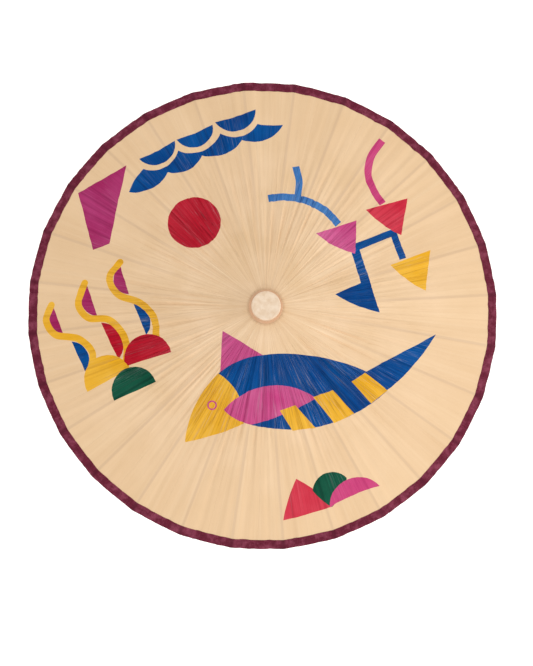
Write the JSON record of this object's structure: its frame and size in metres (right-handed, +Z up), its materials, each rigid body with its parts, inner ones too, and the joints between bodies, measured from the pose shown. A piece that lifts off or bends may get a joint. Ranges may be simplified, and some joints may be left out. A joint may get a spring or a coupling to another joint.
{
  "type": "oil paper umbrella",
  "caption": "Hand-held paper parasol: oiled paper on bamboo ribs and stretchers that fold together as the runner slides down the pole.",
  "frame": {"origin": "on the pole's axis, half-way along the handle's grip", "axes": "+Z up the pole from the handle to the cap; +X and +Y across the canopy, the first rib 5 degrees round from +X"},
  "size_m": [0.8168, 0.8168, 0.5512],
  "materials": {
    "paper": "oiled satin",
    "wood": "satin",
    "bamboo": "satin"
  },
  "bodies": {
    "pole_and_canopy": {"pole_head_and_cap": "wood", "paper_canopy_and_binding": "paper"},
    "runner": {"runner_and_wire": "wood"},
    "spring_catch": {"spring_catch": "bamboo"},
    "rib_01": {"rib_01": "bamboo"},
    "stretcher_01": {"stretcher_01": "bamboo"},
    "rib_02": {"rib_02": "bamboo"},
    "stretcher_02": {"stretcher_02": "bamboo"},
    "rib_03": {"rib_03": "bamboo"},
    "stretcher_03": {"stretcher_03": "bamboo"},
    "rib_04": {"rib_04": "bamboo"},
    "stretcher_04": {"stretcher_04": "bamboo"},
    "rib_05": {"rib_05": "bamboo"},
    "stretcher_05": {"stretcher_05": "bamboo"},
    "rib_06": {"rib_06": "bamboo"},
    "stretcher_06": {"stretcher_06": "bamboo"},
    "rib_07": {"rib_07": "bamboo"},
    "stretcher_07": {"stretcher_07": "bamboo"},
    "rib_08": {"rib_08": "bamboo"},
    "stretcher_08": {"stretcher_08": "bamboo"},
    "rib_09": {"rib_09": "bamboo"},
    "stretcher_09": {"stretcher_09": "bamboo"},
    "rib_10": {"rib_10": "bamboo"},
    "stretcher_10": {"stretcher_10": "bamboo"},
    "rib_11": {"rib_11": "bamboo"},
    "stretcher_11": {"stretcher_11": "bamboo"},
    "rib_12": {"rib_12": "bamboo"},
    "stretcher_12": {"stretcher_12": "bamboo"},
    "rib_13": {"rib_13": "bamboo"},
    "stretcher_13": {"stretcher_13": "bamboo"},
    "rib_14": {"rib_14": "bamboo"},
    "stretcher_14": {"stretcher_14": "bamboo"},
    "rib_15": {"rib_15": "bamboo"},
    "stretcher_15": {"stretcher_15": "bamboo"},
    "rib_16": {"rib_16": "bamboo"},
    "stretcher_16": {"stretcher_16": "bamboo"},
    "rib_17": {"rib_17": "bamboo"},
    "stretcher_17": {"stretcher_17": "bamboo"},
    "rib_18": {"rib_18": "bamboo"},
    "stretcher_18": {"stretcher_18": "bamboo"},
    "rib_19": {"rib_19": "bamboo"},
    "stretcher_19": {"stretcher_19": "bamboo"},
    "rib_20": {"rib_20": "bamboo"},
    "stretcher_20": {"stretcher_20": "bamboo"},
    "rib_21": {"rib_21": "bamboo"},
    "stretcher_21": {"stretcher_21": "bamboo"},
    "rib_22": {"rib_22": "bamboo"},
    "stretcher_22": {"stretcher_22": "bamboo"},
    "rib_23": {"rib_23": "bamboo"},
    "stretcher_23": {"stretcher_23": "bamboo"},
    "rib_24": {"rib_24": "bamboo"},
    "stretcher_24": {"stretcher_24": "bamboo"},
    "rib_25": {"rib_25": "bamboo"},
    "stretcher_25": {"stretcher_25": "bamboo"},
    "rib_26": {"rib_26": "bamboo"},
    "stretcher_26": {"stretcher_26": "bamboo"},
    "rib_27": {"rib_27": "bamboo"},
    "stretcher_27": {"stretcher_27": "bamboo"},
    "rib_28": {"rib_28": "bamboo"},
    "stretcher_28": {"stretcher_28": "bamboo"}
  },
  "joints": [
    {"name": "fold", "type": "hinge", "parent": "pole_and_canopy", "child": "rib_01", "pos_m": [0.01693, 0.00148, 0.475], "axis": [-0.0872, 0.9962, 0], "range_deg": [0, 66], "deforming": ["paper_canopy_and_binding", "spring_catch"]},
    {"name": "stretcher_hinge_01", "type": "hinge", "parent": "rib_01", "child": "stretcher_01", "pos_m": [0.18648, 0.01631, 0.4164], "axis": [-0.0872, 0.9962, 0], "range_deg": [-132, 0]},
    {"name": "rib_hinge_02", "type": "hinge", "parent": "pole_and_canopy", "child": "rib_02", "pos_m": [0.01618, 0.00521, 0.475], "axis": [-0.3066, 0.9518, 0], "range_deg": [0, 66]},
    {"name": "stretcher_hinge_02", "type": "hinge", "parent": "rib_02", "child": "stretcher_02", "pos_m": [0.17818, 0.0574, 0.4164], "axis": [-0.3066, 0.9518, 0], "range_deg": [-132, 0]},
    {"name": "rib_hinge_03", "type": "hinge", "parent": "pole_and_canopy", "child": "rib_03", "pos_m": [0.01461, 0.00868, 0.475], "axis": [-0.5108, 0.8597, 0], "range_deg": [0, 66]},
    {"name": "stretcher_hinge_03", "type": "hinge", "parent": "rib_03", "child": "stretcher_03", "pos_m": [0.16093, 0.09561, 0.4164], "axis": [-0.5108, 0.8597, 0], "range_deg": [-132, 0]},
    {"name": "rib_hinge_04", "type": "hinge", "parent": "pole_and_canopy", "child": "rib_04", "pos_m": [0.01232, 0.01172, 0.475], "axis": [-0.6893, 0.7245, 0], "range_deg": [0, 66]},
    {"name": "stretcher_hinge_04", "type": "hinge", "parent": "rib_04", "child": "stretcher_04", "pos_m": [0.13562, 0.12903, 0.4164], "axis": [-0.6893, 0.7245, 0], "range_deg": [-132, 0]},
    {"name": "rib_hinge_05", "type": "hinge", "parent": "pole_and_canopy", "child": "rib_05", "pos_m": [0.0094, 0.01416, 0.475], "axis": [-0.8332, 0.553, 0], "range_deg": [0, 66]},
    {"name": "stretcher_hinge_05", "type": "hinge", "parent": "rib_05", "child": "stretcher_05", "pos_m": [0.10351, 0.15597, 0.4164], "axis": [-0.8332, 0.553, 0], "range_deg": [-132, 0]},
    {"name": "rib_hinge_06", "type": "hinge", "parent": "pole_and_canopy", "child": "rib_06", "pos_m": [0.00601, 0.0159, 0.475], "axis": [-0.9354, 0.3537, 0], "range_deg": [0, 66]},
    {"name": "stretcher_hinge_06", "type": "hinge", "parent": "rib_06", "child": "stretcher_06", "pos_m": [0.06621, 0.17509, 0.4164], "axis": [-0.9354, 0.3537, 0], "range_deg": [-132, 0]},
    {"name": "rib_hinge_07", "type": "hinge", "parent": "pole_and_canopy", "child": "rib_07", "pos_m": [0.00232, 0.01684, 0.475], "axis": [-0.9906, 0.1367, 0], "range_deg": [0, 66]},
    {"name": "stretcher_hinge_07", "type": "hinge", "parent": "rib_07", "child": "stretcher_07", "pos_m": [0.02559, 0.18544, 0.4164], "axis": [-0.9906, 0.1367, 0], "range_deg": [-132, 0]},
    {"name": "rib_hinge_08", "type": "hinge", "parent": "pole_and_canopy", "child": "rib_08", "pos_m": [-0.00148, 0.01693, 0.475], "axis": [-0.9962, -0.0872, 0], "range_deg": [0, 66]},
    {"name": "stretcher_hinge_08", "type": "hinge", "parent": "rib_08", "child": "stretcher_08", "pos_m": [-0.01631, 0.18648, 0.4164], "axis": [-0.9962, -0.0872, 0], "range_deg": [-132, 0]},
    {"name": "rib_hinge_09", "type": "hinge", "parent": "pole_and_canopy", "child": "rib_09", "pos_m": [-0.00521, 0.01618, 0.475], "axis": [-0.9518, -0.3066, 0], "range_deg": [0, 66]},
    {"name": "stretcher_hinge_09", "type": "hinge", "parent": "rib_09", "child": "stretcher_09", "pos_m": [-0.0574, 0.17818, 0.4164], "axis": [-0.9518, -0.3066, 0], "range_deg": [-132, 0]},
    {"name": "rib_hinge_10", "type": "hinge", "parent": "pole_and_canopy", "child": "rib_10", "pos_m": [-0.00868, 0.01461, 0.475], "axis": [-0.8597, -0.5108, 0], "range_deg": [0, 66]},
    {"name": "stretcher_hinge_10", "type": "hinge", "parent": "rib_10", "child": "stretcher_10", "pos_m": [-0.09561, 0.16093, 0.4164], "axis": [-0.8597, -0.5108, 0], "range_deg": [-132, 0]},
    {"name": "rib_hinge_11", "type": "hinge", "parent": "pole_and_canopy", "child": "rib_11", "pos_m": [-0.01172, 0.01232, 0.475], "axis": [-0.7245, -0.6893, 0], "range_deg": [0, 66]},
    {"name": "stretcher_hinge_11", "type": "hinge", "parent": "rib_11", "child": "stretcher_11", "pos_m": [-0.12903, 0.13562, 0.4164], "axis": [-0.7245, -0.6893, 0], "range_deg": [-132, 0]},
    {"name": "rib_hinge_12", "type": "hinge", "parent": "pole_and_canopy", "child": "rib_12", "pos_m": [-0.01416, 0.0094, 0.475], "axis": [-0.553, -0.8332, 0], "range_deg": [0, 66]},
    {"name": "stretcher_hinge_12", "type": "hinge", "parent": "rib_12", "child": "stretcher_12", "pos_m": [-0.15597, 0.10351, 0.4164], "axis": [-0.553, -0.8332, 0], "range_deg": [-132, 0]},
    {"name": "rib_hinge_13", "type": "hinge", "parent": "pole_and_canopy", "child": "rib_13", "pos_m": [-0.0159, 0.00601, 0.475], "axis": [-0.3537, -0.9354, 0], "range_deg": [0, 66]},
    {"name": "stretcher_hinge_13", "type": "hinge", "parent": "rib_13", "child": "stretcher_13", "pos_m": [-0.17509, 0.06621, 0.4164], "axis": [-0.3537, -0.9354, 0], "range_deg": [-132, 0]},
    {"name": "rib_hinge_14", "type": "hinge", "parent": "pole_and_canopy", "child": "rib_14", "pos_m": [-0.01684, 0.00232, 0.475], "axis": [-0.1367, -0.9906, 0], "range_deg": [0, 66]},
    {"name": "stretcher_hinge_14", "type": "hinge", "parent": "rib_14", "child": "stretcher_14", "pos_m": [-0.18544, 0.02559, 0.4164], "axis": [-0.1367, -0.9906, 0], "range_deg": [-132, 0]},
    {"name": "rib_hinge_15", "type": "hinge", "parent": "pole_and_canopy", "child": "rib_15", "pos_m": [-0.01693, -0.00148, 0.475], "axis": [0.0872, -0.9962, 0], "range_deg": [0, 66]},
    {"name": "stretcher_hinge_15", "type": "hinge", "parent": "rib_15", "child": "stretcher_15", "pos_m": [-0.18648, -0.01631, 0.4164], "axis": [0.0872, -0.9962, 0], "range_deg": [-132, 0]},
    {"name": "rib_hinge_16", "type": "hinge", "parent": "pole_and_canopy", "child": "rib_16", "pos_m": [-0.01618, -0.00521, 0.475], "axis": [0.3066, -0.9518, 0], "range_deg": [0, 66]},
    {"name": "stretcher_hinge_16", "type": "hinge", "parent": "rib_16", "child": "stretcher_16", "pos_m": [-0.17818, -0.0574, 0.4164], "axis": [0.3066, -0.9518, 0], "range_deg": [-132, 0]},
    {"name": "rib_hinge_17", "type": "hinge", "parent": "pole_and_canopy", "child": "rib_17", "pos_m": [-0.01461, -0.00868, 0.475], "axis": [0.5108, -0.8597, 0], "range_deg": [0, 66]},
    {"name": "stretcher_hinge_17", "type": "hinge", "parent": "rib_17", "child": "stretcher_17", "pos_m": [-0.16093, -0.09561, 0.4164], "axis": [0.5108, -0.8597, 0], "range_deg": [-132, 0]},
    {"name": "rib_hinge_18", "type": "hinge", "parent": "pole_and_canopy", "child": "rib_18", "pos_m": [-0.01232, -0.01172, 0.475], "axis": [0.6893, -0.7245, 0], "range_deg": [0, 66]},
    {"name": "stretcher_hinge_18", "type": "hinge", "parent": "rib_18", "child": "stretcher_18", "pos_m": [-0.13562, -0.12903, 0.4164], "axis": [0.6893, -0.7245, 0], "range_deg": [-132, 0]},
    {"name": "rib_hinge_19", "type": "hinge", "parent": "pole_and_canopy", "child": "rib_19", "pos_m": [-0.0094, -0.01416, 0.475], "axis": [0.8332, -0.553, 0], "range_deg": [0, 66]},
    {"name": "stretcher_hinge_19", "type": "hinge", "parent": "rib_19", "child": "stretcher_19", "pos_m": [-0.10351, -0.15597, 0.4164], "axis": [0.8332, -0.553, 0], "range_deg": [-132, 0]},
    {"name": "rib_hinge_20", "type": "hinge", "parent": "pole_and_canopy", "child": "rib_20", "pos_m": [-0.00601, -0.0159, 0.475], "axis": [0.9354, -0.3537, 0], "range_deg": [0, 66]},
    {"name": "stretcher_hinge_20", "type": "hinge", "parent": "rib_20", "child": "stretcher_20", "pos_m": [-0.06621, -0.17509, 0.4164], "axis": [0.9354, -0.3537, 0], "range_deg": [-132, 0]},
    {"name": "rib_hinge_21", "type": "hinge", "parent": "pole_and_canopy", "child": "rib_21", "pos_m": [-0.00232, -0.01684, 0.475], "axis": [0.9906, -0.1367, 0], "range_deg": [0, 66]},
    {"name": "stretcher_hinge_21", "type": "hinge", "parent": "rib_21", "child": "stretcher_21", "pos_m": [-0.02559, -0.18544, 0.4164], "axis": [0.9906, -0.1367, 0], "range_deg": [-132, 0]},
    {"name": "rib_hinge_22", "type": "hinge", "parent": "pole_and_canopy", "child": "rib_22", "pos_m": [0.00148, -0.01693, 0.475], "axis": [0.9962, 0.0872, 0], "range_deg": [0, 66]},
    {"name": "stretcher_hinge_22", "type": "hinge", "parent": "rib_22", "child": "stretcher_22", "pos_m": [0.01631, -0.18648, 0.4164], "axis": [0.9962, 0.0872, 0], "range_deg": [-132, 0]},
    {"name": "rib_hinge_23", "type": "hinge", "parent": "pole_and_canopy", "child": "rib_23", "pos_m": [0.00521, -0.01618, 0.475], "axis": [0.9518, 0.3066, 0], "range_deg": [0, 66]},
    {"name": "stretcher_hinge_23", "type": "hinge", "parent": "rib_23", "child": "stretcher_23", "pos_m": [0.0574, -0.17818, 0.4164], "axis": [0.9518, 0.3066, 0], "range_deg": [-132, 0]},
    {"name": "rib_hinge_24", "type": "hinge", "parent": "pole_and_canopy", "child": "rib_24", "pos_m": [0.00868, -0.01461, 0.475], "axis": [0.8597, 0.5108, 0], "range_deg": [0, 66]},
    {"name": "stretcher_hinge_24", "type": "hinge", "parent": "rib_24", "child": "stretcher_24", "pos_m": [0.09561, -0.16093, 0.4164], "axis": [0.8597, 0.5108, 0], "range_deg": [-132, 0]},
    {"name": "rib_hinge_25", "type": "hinge", "parent": "pole_and_canopy", "child": "rib_25", "pos_m": [0.01172, -0.01232, 0.475], "axis": [0.7245, 0.6893, 0], "range_deg": [0, 66]},
    {"name": "stretcher_hinge_25", "type": "hinge", "parent": "rib_25", "child": "stretcher_25", "pos_m": [0.12903, -0.13562, 0.4164], "axis": [0.7245, 0.6893, 0], "range_deg": [-132, 0]},
    {"name": "rib_hinge_26", "type": "hinge", "parent": "pole_and_canopy", "child": "rib_26", "pos_m": [0.01416, -0.0094, 0.475], "axis": [0.553, 0.8332, 0], "range_deg": [0, 66]},
    {"name": "stretcher_hinge_26", "type": "hinge", "parent": "rib_26", "child": "stretcher_26", "pos_m": [0.15597, -0.10351, 0.4164], "axis": [0.553, 0.8332, 0], "range_deg": [-132, 0]},
    {"name": "rib_hinge_27", "type": "hinge", "parent": "pole_and_canopy", "child": "rib_27", "pos_m": [0.0159, -0.00601, 0.475], "axis": [0.3537, 0.9354, 0], "range_deg": [0, 66]},
    {"name": "stretcher_hinge_27", "type": "hinge", "parent": "rib_27", "child": "stretcher_27", "pos_m": [0.17509, -0.06621, 0.4164], "axis": [0.3537, 0.9354, 0], "range_deg": [-132, 0]},
    {"name": "rib_hinge_28", "type": "hinge", "parent": "pole_and_canopy", "child": "rib_28", "pos_m": [0.01684, -0.00232, 0.475], "axis": [0.1367, 0.9906, 0], "range_deg": [0, 66]},
    {"name": "stretcher_hinge_28", "type": "hinge", "parent": "rib_28", "child": "stretcher_28", "pos_m": [0.18544, -0.02559, 0.4164], "axis": [0.1367, 0.9906, 0], "range_deg": [-132, 0]},
    {"name": "runner_travel", "type": "hinge", "parent": "stretcher_01", "child": "runner", "pos_m": [0.01693, 0.00148, 0.35779], "axis": [-0.0872, 0.9962, 0], "range_deg": [0, 66]},
    {"name": "catch_press", "type": "hinge", "parent": "pole_and_canopy", "child": "spring_catch", "pos_m": [0.0015, 0, 0.2875], "axis": [0, -1, 0], "range_deg": [0, 6.5], "stiffness_Nm_per_rad": 0.6, "springref_deg": -2.86}
  ],
  "couplings": [
    {"joint": "stretcher_hinge_01", "follows": "fold", "ratio": -2},
    {"joint": "rib_hinge_02", "follows": "fold", "ratio": 1},
    {"joint": "stretcher_hinge_02", "follows": "fold", "ratio": -2},
    {"joint": "rib_hinge_03", "follows": "fold", "ratio": 1},
    {"joint": "stretcher_hinge_03", "follows": "fold", "ratio": -2},
    {"joint": "rib_hinge_04", "follows": "fold", "ratio": 1},
    {"joint": "stretcher_hinge_04", "follows": "fold", "ratio": -2},
    {"joint": "rib_hinge_05", "follows": "fold", "ratio": 1},
    {"joint": "stretcher_hinge_05", "follows": "fold", "ratio": -2},
    {"joint": "rib_hinge_06", "follows": "fold", "ratio": 1},
    {"joint": "stretcher_hinge_06", "follows": "fold", "ratio": -2},
    {"joint": "rib_hinge_07", "follows": "fold", "ratio": 1},
    {"joint": "stretcher_hinge_07", "follows": "fold", "ratio": -2},
    {"joint": "rib_hinge_08", "follows": "fold", "ratio": 1},
    {"joint": "stretcher_hinge_08", "follows": "fold", "ratio": -2},
    {"joint": "rib_hinge_09", "follows": "fold", "ratio": 1},
    {"joint": "stretcher_hinge_09", "follows": "fold", "ratio": -2},
    {"joint": "rib_hinge_10", "follows": "fold", "ratio": 1},
    {"joint": "stretcher_hinge_10", "follows": "fold", "ratio": -2},
    {"joint": "rib_hinge_11", "follows": "fold", "ratio": 1},
    {"joint": "stretcher_hinge_11", "follows": "fold", "ratio": -2},
    {"joint": "rib_hinge_12", "follows": "fold", "ratio": 1},
    {"joint": "stretcher_hinge_12", "follows": "fold", "ratio": -2},
    {"joint": "rib_hinge_13", "follows": "fold", "ratio": 1},
    {"joint": "stretcher_hinge_13", "follows": "fold", "ratio": -2},
    {"joint": "rib_hinge_14", "follows": "fold", "ratio": 1},
    {"joint": "stretcher_hinge_14", "follows": "fold", "ratio": -2},
    {"joint": "rib_hinge_15", "follows": "fold", "ratio": 1},
    {"joint": "stretcher_hinge_15", "follows": "fold", "ratio": -2},
    {"joint": "rib_hinge_16", "follows": "fold", "ratio": 1},
    {"joint": "stretcher_hinge_16", "follows": "fold", "ratio": -2},
    {"joint": "rib_hinge_17", "follows": "fold", "ratio": 1},
    {"joint": "stretcher_hinge_17", "follows": "fold", "ratio": -2},
    {"joint": "rib_hinge_18", "follows": "fold", "ratio": 1},
    {"joint": "stretcher_hinge_18", "follows": "fold", "ratio": -2},
    {"joint": "rib_hinge_19", "follows": "fold", "ratio": 1},
    {"joint": "stretcher_hinge_19", "follows": "fold", "ratio": -2},
    {"joint": "rib_hinge_20", "follows": "fold", "ratio": 1},
    {"joint": "stretcher_hinge_20", "follows": "fold", "ratio": -2},
    {"joint": "rib_hinge_21", "follows": "fold", "ratio": 1},
    {"joint": "stretcher_hinge_21", "follows": "fold", "ratio": -2},
    {"joint": "rib_hinge_22", "follows": "fold", "ratio": 1},
    {"joint": "stretcher_hinge_22", "follows": "fold", "ratio": -2},
    {"joint": "rib_hinge_23", "follows": "fold", "ratio": 1},
    {"joint": "stretcher_hinge_23", "follows": "fold", "ratio": -2},
    {"joint": "rib_hinge_24", "follows": "fold", "ratio": 1},
    {"joint": "stretcher_hinge_24", "follows": "fold", "ratio": -2},
    {"joint": "rib_hinge_25", "follows": "fold", "ratio": 1},
    {"joint": "stretcher_hinge_25", "follows": "fold", "ratio": -2},
    {"joint": "rib_hinge_26", "follows": "fold", "ratio": 1},
    {"joint": "stretcher_hinge_26", "follows": "fold", "ratio": -2},
    {"joint": "rib_hinge_27", "follows": "fold", "ratio": 1},
    {"joint": "stretcher_hinge_27", "follows": "fold", "ratio": -2},
    {"joint": "rib_hinge_28", "follows": "fold", "ratio": 1},
    {"joint": "stretcher_hinge_28", "follows": "fold", "ratio": -2},
    {"joint": "runner_travel", "follows": "fold", "ratio": 1}
  ]
}
